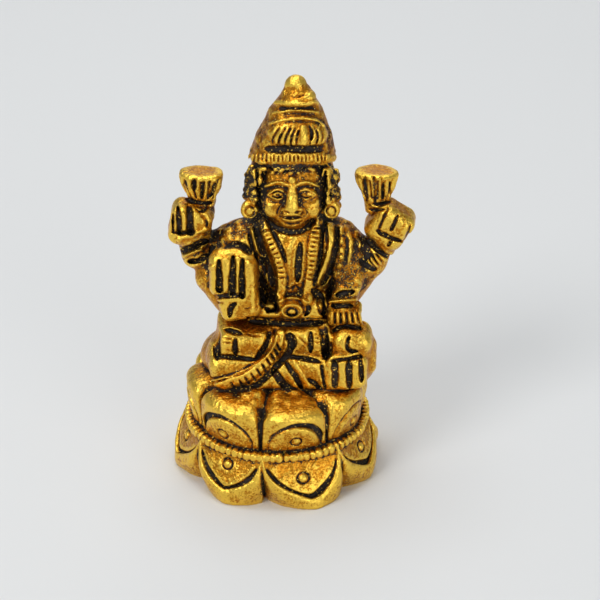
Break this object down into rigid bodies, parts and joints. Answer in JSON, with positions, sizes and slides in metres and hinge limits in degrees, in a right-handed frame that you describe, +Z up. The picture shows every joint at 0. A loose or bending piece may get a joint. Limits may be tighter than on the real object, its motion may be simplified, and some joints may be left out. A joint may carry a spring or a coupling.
{
  "type": "lakshmi idol on lotus base",
  "caption": "Small cast brass idol of a many-armed goddess seated cross-legged on a beaded lotus base, with a tall crown, lotus buds in the raised hands and a palm held out.",
  "frame": {"origin": "on the ground under the middle of the whole outline", "axes": "+Z up, -Y the way the figure faces, +X towards her left hand, the viewer's right"},
  "size_m": [0.0296, 0.025, 0.05],
  "materials": {
    "aged_brass": "cast, hand buffed on the high parts, black wash left in the recesses"
  },
  "bodies": {
    "root": {"lakshmi_on_lotus": "aged_brass"}
  },
  "joints": []
}
